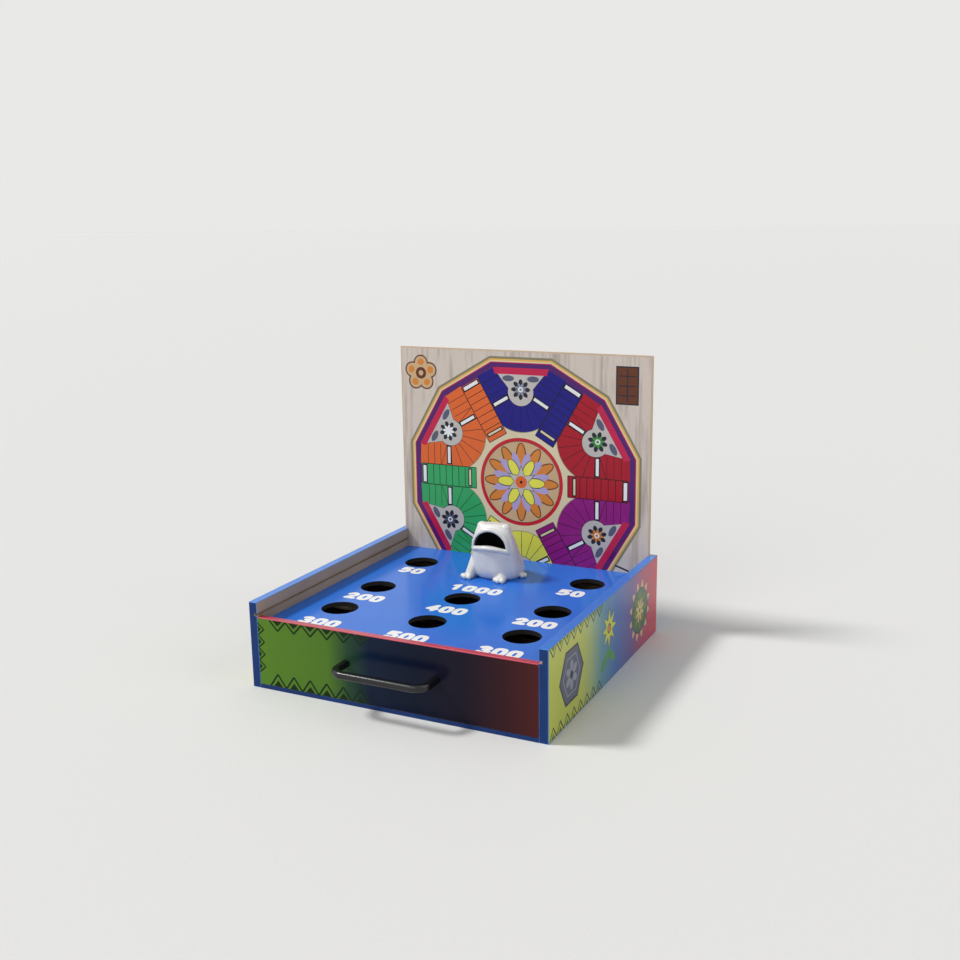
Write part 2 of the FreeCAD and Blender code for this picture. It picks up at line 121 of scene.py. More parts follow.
def raw_mdf(name, light, dark):
    """Sanded medium density fibreboard: dull, even tan with fine fibre flecks and faint sanding bands."""
    material, tree, shader, place = finish_of(name, {"IOR": 1.45})
    fibres = speckle(tree, place, 0.9, 6.0)
    bands = speckle(tree, place, 18.0, 2.0, (1.0, 4.0, 6.0))
    tone = add(tree, "ShaderNodeMath", {0: bands, 1: 0.35, 2: fibres},
               operation="MULTIPLY_ADD").outputs["Value"]
    surface(tree, shader, between(tree, tone, linear(dark), linear(light), 0.42, 0.92),
            level(tree, fibres, 0.72, 0.86), fibres, 0.05)
    return material


def painted_mdf(name, code, shade, gloss=0.5):
    """Gloss enamel rolled on MDF: a coloured sheen over a faint orange peel."""
    material, tree, shader, place = finish_of(name, {"IOR": 1.5, "Specular IOR Level": gloss,
                                                     "Coat Weight": gloss / 2, "Coat Roughness": 0.1})
    clouds = speckle(tree, place, 28.0)
    peel = speckle(tree, place, 2.2, 2.0)
    surface(tree, shader, between(tree, clouds, linear(shade), linear(code)),
            level(tree, clouds, 0.36, 0.24), peel, 0.05)
    return material


def rubbed_edge(name, code, board):
    """Paint rubbed thin along an arris, with the board showing through in places."""
    material, tree, shader, place = finish_of(name, {"IOR": 1.5, "Roughness": 0.45})
    rub = speckle(tree, place, 6.0, 5.0)
    surface(tree, shader, between(tree, rub, linear(code), linear(board), 0.62, 0.74), None, rub, 0.08)
    return material


def placed(name, data):
    """New object in the scene."""
    thing = bpy.data.objects.new(name, data)
    bpy.context.scene.collection.objects.link(thing)
    return thing


WELD_MM = 0.002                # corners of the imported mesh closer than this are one
SHARP = math.radians(33)       # an edge that bends more stays crisp
LONG_EDGE_MM = 9               # edges longer than this are eased


def dressed(node, body, materials, pick=None, ease_mm=0.0, rubbed=None):
    """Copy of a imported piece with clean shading, its faces given finishes by pick, its long edges eased.

    pick takes a face's centre in millimetres and its normal, and gives the number of its finish. A rubbed
    finish goes on the eased edges of painted faces alone.
    """
    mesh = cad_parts[node].data.copy()
    mesh.name = node + "_dressed"
    edit = bmesh.new()
    edit.from_mesh(mesh)
    bmesh.ops.remove_doubles(edit, verts=edit.verts, dist=WELD_MM * MM)
    if ease_mm:
        bmesh.ops.dissolve_limit(edit, angle_limit=math.radians(0.5), verts=edit.verts, edges=edit.edges)
    for face in edit.faces:
        face.smooth = True
        face.material_index = pick(face.calc_center_median() / MM, face.normal) if pick else 0
    weight = edit.edges.layers.float.new("bevel_weight_edge")
    for edge in edit.edges:
        sharp = len(edge.link_faces) == 2 and edge.calc_face_angle() > SHARP
        edge.smooth = not sharp
        bare = rubbed and not any(face.material_index for face in edge.link_faces)
        if ease_mm and sharp and not bare and edge.calc_length() > LONG_EDGE_MM * MM:
            edge[weight] = 1.0
    mesh.materials.clear()
    edit.to_mesh(mesh)
    edit.free()
    for material in materials + ([rubbed] if rubbed else []):
        mesh.materials.append(material)
    piece = placed(node + "_dressed", mesh)
    if ease_mm:
        bevel = piece.modifiers.new("eased edges", "BEVEL")
        bevel.limit_method = "WEIGHT"
        bevel.width = ease_mm * MM
        bevel.segments = 2
        bevel.use_clamp_overlap = False
        bevel.loop_slide = False
        bevel.harden_normals = True
        if rubbed:
            bevel.material = len(materials)
    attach(piece, body)
    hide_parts(node)
    return piece


blue_paint = painted_mdf("gloss_enamel_blue", "#2C7AD6", "#2974CE")
# Darker blue for the faces toward the player: painted shade, the box's blue darkened as if out of the light.
painted_shade_blue = painted_mdf("gloss_enamel_blue_painted_shade", "#143A78", "#12336A", gloss=0.15)
blue_edge = rubbed_edge("rubbed_enamel_blue", "#3F86DE", "#A89A8C")
sanded_board = raw_mdf("sanded_mdf", "#BBA793", "#A08D7A")

BOX_HALF_DEPTH = 205.0
ON_FACE = 0.5                  # what lies this near a face of the box belongs to it
dressed("bottom_panel", "box", [sanded_board, painted_shade_blue],
        lambda at, facing: int(facing.y < -0.5 and at.y < -BOX_HALF_DEPTH + ON_FACE), ease_mm=0.4)


# Side panels
# 12 mm MDF with a lid groove and an upright slot sawn in the inner face. The edges are painted gloss blue;
# the front ends take a deeper blue, which is painted shade. The inner faces and the saw cuts stay sanded
# board.

BOX_HALF_WIDTH = 210.0
BOX_TOP = 117.0


def outside(at, facing):
    """2 on a front end (deep blue painted shade), 1 on the rest of the box's outline, 0 on the inner faces
    and the saw cuts.
    """
    if at.y < -BOX_HALF_DEPTH + ON_FACE:
        return 2
    return int(abs(at.x) > BOX_HALF_WIDTH - ON_FACE or at.z > BOX_TOP - ON_FACE or at.z < ON_FACE
               or at.y > BOX_HALF_DEPTH - ON_FACE)


for side in ("left", "right"):
    dressed("side_panel_" + side, "box", [sanded_board, blue_paint, painted_shade_blue], outside,
            ease_mm=0.6, rubbed=blue_edge)


# Back panels
# The outer one is 9 mm MDF, painted outside and on top; the inner one is raw 6 mm board that stands under
# the deck and closes the board's slot towards the drawer.

dressed("back_panel", "box", [sanded_board, blue_paint],
        lambda at, facing: int(at.y > BOX_HALF_DEPTH - ON_FACE or at.z > BOX_TOP - ON_FACE),
        ease_mm=0.6, rubbed=blue_edge)
dressed("inner_back_panel", "box", [sanded_board], ease_mm=0.3)


# Deck cleats
# Planed softwood strips glued along the sides, which carry the deck.

def sawn_wood(name, light, dark, grain_mm, along):
    """Planed timber: stretched grain of two tones that runs along one axis."""
    material, tree, shader, place = finish_of(name, {"IOR": 1.48})
    stretch = [1.0, 1.0, 1.0]
    stretch[along] = 22.0
    grain = speckle(tree, place, grain_mm, 5.0, stretch)
    surface(tree, shader, between(tree, grain, linear(dark), linear(light), 0.36, 0.62),
            level(tree, grain, 0.7, 0.52), grain, 0.08)
    return material


planed_pine = sawn_wood("planed_pine", "#DDBE8C", "#B98F5C", grain_mm=2.4, along=1)
for side in ("left", "right"):
    dressed("deck_cleat_" + side, "box", [planed_pine], ease_mm=0.5)


# Deck
# 6 mm MDF with nine holes. The walls of the holes are coloured almost black as painted shade, so nothing
# bright shows in them from above.

DECK_REAR = 191.0              # the rear edge is sawn, and stays plain
# Near-black hole walls: painted shade inside the holes.
hole_walls_painted_shade = raw_mdf("painted_shade_mdf_hole_walls", "#0E0A08", "#060504")
dressed("deck_panel", "box", [sanded_board, hole_walls_painted_shade],
        lambda at, facing: int(abs(facing.z) < 0.5 and at.y < DECK_REAR))


# Deck skin
# Blue printed vinyl with a gloss laminate, laid over the whole deck, with the points in white beside each
# hole. It is 0.25 mm thick and cut out at the holes.

PRINT_MM = 0.25
LAMINATE_GLOSS = 0.25          # specular level of the laminate
SNAP_MM = 2e-3                 # corners of outlines closer than this become one
HOLE_RADIUS = 25.0
HOLE_COLUMNS = (-134.0, 0.0, 134.0)
HOLE_ROWS = (-108.0, -8.0, 120.0)
PEGS = ((-33.5, 81.5), (17.5, 82.0))     # holes for the frog's pegs
PEG_HOLE_RADIUS = 2.8
DIGIT_WIDTH = 18.8
DIGIT_HEIGHT = 25.8
DIGIT_STROKE = 7.2
DIGIT_PITCH = 19.8
# The points, and the middle of their digits
DECK_POINTS = (
    ("300", -128.3, -165.0), ("500", 2.0, -167.0), ("300", 130.7, -167.0),
    ("200", -127.0, -56.0), ("400", 1.2, -57.0), ("200", 130.0, -57.6),
    ("50", -127.0, 78.0), ("1000", -0.4, 35.0), ("50", 127.5, 73.0),
)


def oval(u, v, half_u, half_v, points=40, power=2.0):
    """Closed outline; a power over 2 squares it."""
    outline = []
    for i in range(points):
        c = math.cos(2 * math.pi * i / points)
        s = math.sin(2 * math.pi * i / points)
        outline.append((u + half_u * math.copysign(abs(c) ** (2 / power), c),
                        v + half_v * math.copysign(abs(s) ** (2 / power), s)))
    return outline


def arc(u, v, radius, start, end, points=16):
    """Points along an arc, in degrees."""
    turns = [math.radians(start + (end - start) * i / (points - 1)) for i in range(points)]
    return [(u + radius * math.cos(t), v + radius * math.sin(t)) for t in turns]


def bar(a, b, half):
    """Straight stripe from a to b."""
    du, dv = b[0] - a[0], b[1] - a[1]
    length = math.hypot(du, dv)
    nu, nv = -dv / length * half, du / length * half
    return [(a[0] - nu, a[1] - nv), (b[0] - nu, b[1] - nv), (b[0] + nu, b[1] + nv), (a[0] + nu, a[1] + nv)]


def stroke(points, half):
    """Line with round ends and joints, as outlines that overlap."""
    outlines = [bar(a, b, half) for a, b in zip(points, points[1:])]
    return outlines + [oval(u, v, half, half, 16) for u, v in points]


def through(points, steps=5):
    """Smooth curve through a few points."""
    ends = [points[0], *points, points[-1]]
    curve = []
    for p0, p1, p2, p3 in zip(ends, ends[1:], ends[2:], ends[3:]):
        for i in range(steps):
            t = i / steps
            curve.append(tuple(0.5 * (2 * b + (c - a) * t + (2 * a - 5 * b + 4 * c - d) * t * t
                                      + (3 * b - a - 3 * c + d) * t ** 3)
                               for a, b, c, d in zip(p0, p1, p2, p3)))
    return curve + [points[-1]]


def turned(outline, degrees, centre=(0.0, 0.0)):
    """Outline turned about its origin and moved to a centre."""
    c = math.cos(math.radians(degrees))
    s = math.sin(math.radians(degrees))
    return [(centre[0] + u * c - v * s, centre[1] + u * s + v * c) for u, v in outline]


def printed(tree, shader, colour, place, gloss=LAMINATE_GLOSS):
    """Gloss laminate over ink: even sheen with slight swells of the board below."""
    blotches = speckle(tree, place, 5.0)
    swells = speckle(tree, place, 9.0, 1.0)
    mottle = add(tree, "ShaderNodeMix", {"A": colour, "B": (0.0, 0.0, 0.0, 1.0),
                                         "Factor": level(tree, blotches, 0.0, 0.03)}, data_type="RGBA")
    shader.inputs["Specular IOR Level"].default_value = gloss
    surface(tree, shader, mottle.outputs["Result"], level(tree, blotches, 0.15, 0.2), swells, 0.012)


def ink(name, code, gloss=LAMINATE_GLOSS):
    """One plain ink of the prints, laid a little thinner in places."""
    material, tree, shader, place = finish_of("vinyl_ink_" + name, {"IOR": 1.5})
    film = between(tree, speckle(tree, place, 60.0), linear(code, 0.93), linear(code))
    printed(tree, shader, film, place, gloss)
    return material


def blended_ink(name, stops, axis, gloss=LAMINATE_GLOSS):
    """Ink that runs through several colours along one axis; a stop is a place in millimetres and a colour."""
    material, tree, shader, place = finish_of("vinyl_blend_" + name, {"IOR": 1.5})
    first_mm, last_mm = stops[0][0], stops[-1][0]
    at = add(tree, "ShaderNodeSeparateXYZ", {"Vector": place}).outputs[axis]
    share = add(tree, "ShaderNodeMapRange", {"Value": at, "From Min": first_mm * MM,
                                             "From Max": last_mm * MM})
    ramp = add(tree, "ShaderNodeValToRGB", {"Fac": share.outputs["Result"]})
    elements = ramp.color_ramp.elements
    while len(elements) < len(stops):
        elements.new(0.5)
    for element, (mm, code) in zip(elements, stops):
        element.position = (mm - first_mm) / (last_mm - first_mm)
        element.color = linear(code)
    printed(tree, shader, ramp.outputs["Color"], place, gloss)
    return material


def printed_skin(node, body, art, inks, to_place):
    """Thin closed sheet in the plane of a print, cut into the outlines of its inks.

    art lists (ink name or None for a cut-out, outline), the later ones on top; to_place turns (u, v, height
    over the board) in millimetres into a place.
    """
    corners, faces = [], []
    for name, outline in art:
        area = sum(a[0] * b[1] - b[0] * a[1] for a, b in zip(outline, outline[1:] + outline[:1]))
        ordered = outline if area > 0 else outline[::-1]
        faces.append(list(range(len(corners), len(corners) + len(ordered))))
        corners.extend(Vector(p) for p in ordered)
    points, _, cells, _, _, from_faces = delaunay_2d_cdt(corners, [], faces, 1, SNAP_MM)
    order = [name for name in dict.fromkeys(name for name, outline in art) if name]
    skin = bmesh.new()
    tops = [skin.verts.new(to_place(p.x, p.y, PRINT_MM)) for p in points]
    unders = [skin.verts.new(to_place(p.x, p.y, 0.0)) for p in points]
    sides = {}
    for cell, origins in zip(cells, from_faces):
        name = art[max(origins)][0] if origins and max(origins) < len(art) else None
        if not name or 0 not in origins:
            continue
        top = skin.faces.new([tops[i] for i in cell])
        top.material_index = order.index(name)
        skin.faces.new([unders[i] for i in reversed(cell)])
        for a, b in zip(cell, cell[1:] + cell[:1]):
            sides[(a, b)] = True
    for a, b in sides:
        if (b, a) not in sides:
            skin.faces.new([tops[b], tops[a], unders[a], unders[b]])
    bmesh.ops.delete(skin, geom=[v for v in skin.verts if not v.link_faces], context="VERTS")
    bmesh.ops.recalc_face_normals(skin, faces=skin.faces)
    mesh = bpy.data.meshes.new(node + "_skin")
    skin.to_mesh(mesh)
    skin.free()
    for name in order:
        mesh.materials.append(inks[name])
    piece = placed(node + "_skin", mesh)
    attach(piece, body)
    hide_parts(node)
    return piece


def rectangle(left, bottom, right, top):
    """Outline of four corners."""
    return [(left, bottom), (right, bottom), (right, top), (left, top)]


def whole_print(node, u_axis, v_axis):
    """The outline of a print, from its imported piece, in millimetres."""
    low, high = (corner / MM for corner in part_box(node))
    return rectangle(low[u_axis], low[v_axis], high[u_axis], high[v_axis])


# A digit's strokes in a box of one by one, on the middle lines of the strokes
DIGIT_STROKES = {
    "1": [[(0.1, 0.78), (0.55, 1.0), (0.55, 0.0)]],
    "2": [through([(0.0, 0.74), (0.42, 1.0), (0.95, 0.74), (0.55, 0.36), (0.05, 0.02)]),
          [(0.05, 0.0), (1.0, 0.0)]],
    "3": [through([(0.0, 0.88), (0.5, 1.0), (0.93, 0.78), (0.42, 0.54)]),
          through([(0.42, 0.54), (1.0, 0.28), (0.48, 0.0), (0.0, 0.1)])],
    "4": [[(0.72, 1.0), (0.0, 0.3), (1.02, 0.3)], [(0.72, 1.0), (0.72, 0.0)]],
    "5": [[(0.95, 1.0), (0.12, 1.0), (0.06, 0.56)],
          through([(0.06, 0.56), (0.6, 0.64), (1.0, 0.32), (0.5, 0.0), (0.0, 0.08)])],
}


def digit(character, u, v):
    """Bold round digit about a centre: white strokes, and a blue eye in a nought."""
    if character == "0":
        return [("white", oval(u, v, DIGIT_WIDTH / 2, DIGIT_HEIGHT / 2, 40, 2.7)),
                ("blue", oval(u, v, DIGIT_WIDTH / 2 - DIGIT_STROKE,
                              DIGIT_HEIGHT / 2 - DIGIT_STROKE * 0.95, 24))]
    half = DIGIT_STROKE / 2
    width = DIGIT_WIDTH - DIGIT_STROKE
    height = DIGIT_HEIGHT - DIGIT_STROKE
    art = []
    for line in DIGIT_STROKES[character]:
        middle = [(u + (a - 0.5) * width, v + (b - 0.5) * height) for a, b in line]
        art += [("white", outline) for outline in stroke(middle, half)]
    return art


deck_art = [("blue", whole_print("deck_print", 0, 1))]
for number, u, v in DECK_POINTS:
    first = u - DIGIT_PITCH * (len(number) - 1) / 2
    for i, character in enumerate(number):
        deck_art += digit(character, first + i * DIGIT_PITCH, v)
for x in HOLE_COLUMNS:
    for y in HOLE_ROWS:
        deck_art.append((None, oval(x, y, HOLE_RADIUS, HOLE_RADIUS, 96)))
for x, y in PEGS:
    deck_art.append((None, oval(x, y, PEG_HOLE_RADIUS, PEG_HOLE_RADIUS, 24)))

inks = {name: ink(name, code) for name, code in {"white": "#F4F4F2", "blue": "#2872D6"}.items()}
DECK_TOP = 88.0
printed_skin("deck_print", "box", deck_art, inks,
             lambda u, v, over: Vector((u, v, DECK_TOP + over)) * MM)


# Side skins
# The same vinyl on the outside of both sides. The ground runs from lime at the front through blue to red
# at the rear, with teeth along the top and the bottom of the lime part and three flower ornaments.

inks.update({name: ink(name, code) for name, code in {
    "forest": "#26401A", "olive": "#6C7E2C", "lemon": "#D2D44A", "leaf": "#4E9A4C", "slate": "#5D6176",
    "fog": "#9196A6", "coal": "#2A2C36", "sand": "#D6B489", "amber": "#E08A3C", "moss": "#3F6B4A",
}.items()})
inks["side_blend"] = blended_ink("side", [(-204, "#C0C850"), (-98, "#BDC558"), (-66, "#A3B67C"),
                                          (-30, "#6397A2"), (26, "#4670B4"), (88, "#665A98"),
                                          (136, "#AC4668"), (204, "#D0384A")], "Y")


def teeth(first, count, pitch, edge, tip, fill, line, half_line=1.0, across=False):
    """Solid teeth on an edge of a print, under a zigzag line whose points reach tip beyond the edge.

    across swaps u and v, for a row that stands on an upright edge.
    """
    art = []
    for i in range(count):
        a = first + i * pitch
        solid = [(a + 0.2 * pitch, edge), (a + 0.8 * pitch, edge), (a + 0.5 * pitch, edge + 0.52 * tip)]
        zigzag = [(a, edge), (a + 0.5 * pitch, edge + tip), (a + pitch, edge)]
        legs = [bar(p, q, half_line) for p, q in zip(zigzag, zigzag[1:])]
        for name, outline in [(fill, solid)] + [(line, leg) for leg in legs]:
            art.append((name, [(v, u) for u, v in outline] if across else outline))
    return art


def petals(u, v, count, reach, half, name, start=0.0):
    """Ring of leaf shapes round a centre."""
    art = []
    for i in range(count):
        leaf = oval(reach, 0.0, reach * 0.62, half, 20)
        art.append((name, turned(leaf, start + 360 * i / count, (u, v))))
    return art


def star(u, v, outer, inner, count):
    """Star with one point straight up."""
    return [(u + (outer, inner)[i % 2] * math.cos(math.radians(90.0 + 180 * i / count)),
             v + (outer, inner)[i % 2] * math.sin(math.radians(90.0 + 180 * i / count)))
            for i in range(2 * count)]


PAST_EDGE = 0.6                # how far a row of teeth starts outside its print, which trims it
TOOTH_ROW = (-202.0, 8, 22.0)  # where a row starts, its number of teeth and their pitch
HEXAGON = (-133, 60)           # places of the three ornaments
STAR_FLOWER = (0, 74)
SUNFLOWER = (126, 58)
side_art = [("side_blend", whole_print("side_print_right", 1, 2))]
side_low, side_high = (corner.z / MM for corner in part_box("side_print_right"))
side_art += teeth(*TOOTH_ROW, side_high + PAST_EDGE, -14.0, "olive", "forest")
side_art += teeth(*TOOTH_ROW, side_low - PAST_EDGE, 15.0, "olive", "forest")
for name, radius in (("coal", 40), ("slate", 37), ("fog", 28), ("slate", 26)):
    side_art.append((name, oval(*HEXAGON, radius, radius, 6)))
side_art += petals(*HEXAGON, 6, 12.0, 5.0, "fog", 30.0)
side_art += [("coal", oval(*HEXAGON, 5, 5))]
side_art += [("leaf", outline) for outline in stroke(through([(2, 60), (-4, 44), (-16, 34)]), 2.6)]
side_art += [("leaf", turned(oval(16, 0, 16, 6.5), degrees, (-4, 42))) for degrees in (-32, 214)]
side_art += [("moss", star(*STAR_FLOWER, 29, 13, 8)), ("lemon", star(*STAR_FLOWER, 26, 11.5, 8)),
             ("moss", oval(*STAR_FLOWER, 7, 7)), ("amber", oval(*STAR_FLOWER, 4.6, 4.6))]
side_art += petals(*SUNFLOWER, 12, 27.0, 5.5, "sand", 15.0)
side_art += [("coal", oval(*SUNFLOWER, 35, 33)), ("moss", oval(*SUNFLOWER, 33.5, 31.5))]
side_art += petals(*SUNFLOWER, 8, 17.0, 5.0, "olive")
side_art += petals(*SUNFLOWER, 8, 11.0, 3.0, "sand", 22.5)
side_art += [("lemon", oval(*SUNFLOWER, 6, 6)), ("moss", oval(*SUNFLOWER, 3, 3))]
for side, sign in (("left", -1), ("right", 1)):
    printed_skin("side_print_" + side, "box", side_art, inks,
                 lambda u, v, over, sign=sign: Vector((sign * (BOX_HALF_WIDTH + over), u, v)) * MM)


# Case fasteners
# Zinc plated countersunk screws hold the sides to the back, and wire nails hold the bottom. All sit
# under the skins.

def plated_steel(name, code):
    """Bright zinc plate: grey metal, slightly streaked and uneven in gloss."""
    material, tree, shader, place = finish_of(name, {"Metallic": 1.0})
    streaks = speckle(tree, place, 0.8, 4.0)
    surface(tree, shader, between(tree, streaks, linear("#8E9196"), linear(code)),
            level(tree, streaks, 0.42, 0.28), streaks, 0.01)
    return material


zinc = plated_steel("zinc_plated_steel", "#C6C8CC")
for node in ("back_screws", "bottom_nails"):
    dressed(node, "box", [zinc])


# Drawer box
# Front of 9 mm MDF painted crimson on its top edge and face, sides and back of 6 mm MDF, and a
# hardboard bottom, glued and nailed.

crimson_paint = painted_mdf("gloss_enamel_crimson", "#C23C55", "#AE3049")
crimson_edge = rubbed_edge("rubbed_enamel_crimson", "#CF5067", "#BCA494")
FRONT_TOP = 97.8
dressed("drawer_front", "drawer", [sanded_board, crimson_paint],
        lambda at, facing: int(at.z > FRONT_TOP - ON_FACE or facing.y < -0.5), ease_mm=0.6,
        rubbed=crimson_edge)
for node in ("drawer_side_left", "drawer_side_right", "drawer_back"):
    dressed(node, "drawer", [sanded_board], ease_mm=0.4)


def pressed_board(name, light, dark):
    """Hardboard: dark brown pressed fibre, smooth with a low sheen and hairs of lighter fibre."""
    material, tree, shader, place = finish_of(name, {"IOR": 1.48})
    hairs = speckle(tree, place, 1.6, 8.0)
    clouds = speckle(tree, place, 50.0)
    tone = add(tree, "ShaderNodeMath", {0: hairs, 1: clouds}, operation="MULTIPLY").outputs["Value"]
    surface(tree, shader, between(tree, tone, linear(dark), linear(light), 0.12, 0.4),
            level(tree, hairs, 0.48, 0.62), hairs, 0.03)
    return material


hardboard = pressed_board("smooth_hardboard", "#503626", "#33221A")
dressed("drawer_bottom", "drawer", [hardboard])
for node in ("lengthwise_divider_left", "lengthwise_divider_right", "cross_divider_front",
             "cross_divider_rear"):
    dressed(node, "drawer", [hardboard], ease_mm=0.3)
dressed("drawer_nails", "drawer", [zinc])


# Front skin
# Printed vinyl over the drawer front, which stops just below its top edge: green at the left, almost black in
# the middle, dark red at the right, with rows of teeth round the green end. The blend's colours are the print
# darkened as painted shade of the front. The handle's screws pass through two holes.

HANDLE_HALF = 64.0             # middle of the handle to a screw
HANDLE_Z = 56.0
SCREW_HOLE = 2.2
TOP_BARE = 1.3                 # strip of the front above the skin
FRONT_GLOSS = 0.12             # a duller laminate than on the deck
# The front's blend: print colours held darker as painted shade.
inks["front_blend_with_painted_shade"] = blended_ink("front", [(-198, "#5A8429"), (-92, "#527A28"), (-62, "#2A4A32"),
                                            (-30, "#10203A"), (40, "#0E162C"), (105, "#1B1424"),
                                            (160, "#3A191E"), (198, "#501E1F")], "X", FRONT_GLOSS)
inks["dark_green"] = ink("dark_green", "#172D12", FRONT_GLOSS)
front_art = [("front_blend_with_painted_shade", whole_print("front_print", 0, 2))]
front_low, front_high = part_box("front_print")
front_left, front_floor, front_ceiling = front_low.x / MM, front_low.z / MM, front_high.z / MM - TOP_BARE
front_art += teeth(-179.0, 6, 25.0, front_ceiling, -13.5, "dark_green", "dark_green", 1.2)
front_art += teeth(-182.0, 6, 25.0, front_floor - PAST_EDGE, 17.5, "dark_green", "dark_green", 1.2)
front_art += teeth(front_floor + 16.0, 4, 17.0, front_left - PAST_EDGE, 10.0, "dark_green", "dark_green",
                   across=True)
front_art.append((None, bar((-BOX_HALF_WIDTH, FRONT_TOP), (BOX_HALF_WIDTH, FRONT_TOP), TOP_BARE)))
for x in (-HANDLE_HALF, HANDLE_HALF):
    front_art.append((None, oval(x, HANDLE_Z, SCREW_HOLE, SCREW_HOLE, 24)))
printed_skin("front_print", "drawer", front_art, inks,
             lambda u, v, over: Vector((u, -BOX_HALF_DEPTH - over, v)) * MM)


# Bow handle
# Bent bar of rounded section, powder coated satin black, held by two pan head screws from inside.

def powder_coat(name, code):
    """Powder coat: dark film with fine pebbling and a soft highlight."""
    material, tree, shader, place = finish_of(name, {"IOR": 1.5})
    pebbles = speckle(tree, place, 0.7, 2.0)
    surface(tree, shader, between(tree, pebbles, linear("#08090B"), linear(code)),
            level(tree, pebbles, 0.2, 0.28), pebbles, 0.02)
    return material


dressed("pull_handle", "drawer", [powder_coat("satin_black_powder_coat", "#131417")])


def applied(piece):
    """Makes the modifiers of a piece part of its mesh."""
    evaluated = piece.evaluated_get(bpy.context.evaluated_depsgraph_get())
    piece.data = bpy.data.meshes.new_from_object(evaluated)
    piece.modifiers.clear()


def carved(piece, cutter, finish):
    """Cuts a bmesh out of a piece; the cut faces take their own finish."""
    tool_mesh = bpy.data.meshes.new("cutter")
    cutter.to_mesh(tool_mesh)
    cutter.free()
    tool_mesh.materials.append(finish)
    tool = placed("cutter", tool_mesh)
    cut = piece.modifiers.new("cut", "BOOLEAN")
    cut.operation = "DIFFERENCE"
    cut.solver = "EXACT"
    cut.material_mode = "TRANSFER"
    cut.object = tool
    applied(piece)
    bpy.data.objects.remove(tool)


RECESS_REACH = 2.3             # arm of the cross recess in a screw's head
RECESS_HALF = 0.45
RECESS_DEPTH = 1.3
screws = dressed("handle_screws", "drawer", [zinc])
screw_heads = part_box("handle_screws")[1].y / MM
recess = bmesh.new()
quarter = [(RECESS_REACH, -RECESS_HALF), (RECESS_REACH, RECESS_HALF), (RECESS_HALF, RECESS_HALF)]
cross = [corner for k in range(4) for corner in turned(quarter, 90 * k)]
for x in (-HANDLE_HALF, HANDLE_HALF):
    ends = [[recess.verts.new(Vector((x + a, y, HANDLE_Z + b)) * MM) for a, b in cross]
            for y in (screw_heads - RECESS_DEPTH, screw_heads + 0.5)]
    for outline in ends:
        recess.faces.new(outline)
    for i in range(len(cross)):
        j = (i + 1) % len(cross)
        recess.faces.new([ends[0][i], ends[0][j], ends[1][j], ends[1][i]])
bmesh.ops.recalc_face_normals(recess, faces=recess.faces)
carved(screws, recess, zinc)


# Tossing discs
# Six cast and turned brass discs of 40 mm, kept in two stacks in the front middle bay. Each has a raised
# rim and a small boss, and is turned all over.

def worn_brass(name):
    """Handled brass: warm metal, dulled in patches."""
    material, tree, shader, place = finish_of(name, {"Metallic": 1.0})
    tarnish = speckle(tree, place, 9.0, 6.0)
    turning = speckle(tree, place, 0.5, 2.0)
    surface(tree, shader, between(tree, tarnish, linear("#9A7434"), linear("#D9B560")),
            level(tree, tarnish, 0.46, 0.26), turning, 0.02)
    return material


def lathed(node, body, profile, places, material):
    """Solids of revolution at several places; the profile runs up from axis to axis, in millimetres."""
    steps = 64
    shape = bmesh.new()
    for x, y, z in places:
        rings = []
        for radius, height in profile:
            if radius == 0:
                rings.append([shape.verts.new(Vector((x, y, z + height)) * MM)] * steps)
                continue
            turns = [2 * math.pi * i / steps for i in range(steps)]
            rings.append([shape.verts.new(Vector((x + radius * math.cos(t), y + radius * math.sin(t),
                                                  z + height)) * MM) for t in turns])
        for lower, upper in zip(rings, rings[1:]):
            for i in range(steps):
                j = (i + 1) % steps
                corners = dict.fromkeys((lower[i], lower[j], upper[j], upper[i]))
                shape.faces.new(list(corners)).smooth = True
    for edge in shape.edges:
        edge.smooth = edge.calc_face_angle() < SHARP
    mesh = bpy.data.meshes.new(node + "_lathed")
    shape.to_mesh(mesh)
    shape.free()
    mesh.materials.append(material)
    piece = placed(node + "_lathed", mesh)
    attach(piece, body)
    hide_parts(node)


DISC_PROFILE = ((0, 0.5), (3.0, 0.5), (3.6, 0.9), (15.4, 0.9), (16.4, 0.02), (19.4, 0.02), (20.0, 0.6),
                (20.0, 4.4), (19.4, 4.98), (16.4, 4.98), (15.4, 4.1), (3.6, 4.1), (3.0, 4.5), (0, 4.5))
DISC_THICKNESS = 5.0
DISC_STACKS = ((-28.0, -127.0), (28.0, -127.0))
DRAWER_FLOOR = 9.3
stacked = [(x, y, DRAWER_FLOOR + DISC_THICKNESS * i) for x, y in DISC_STACKS for i in range(3)]
lathed("tossing_discs", "drawer", DISC_PROFILE, stacked, worn_brass("worn_brass"))


# Counters
# Four moulded plastic counters in each of the board's six colours: a foot, a short waist and a dome.

def moulded(name, code):
    """Moulded plastic: even colour with a fine gloss and slight sink marks."""
    material, tree, shader, place = finish_of(name, {"IOR": 1.49})
    sinks = speckle(tree, place, 4.0, 1.0)
    surface(tree, shader, between(tree, sinks, linear(code, 0.86), linear(code)),
            level(tree, sinks, 0.2, 0.3), sinks, 0.03)
    return material


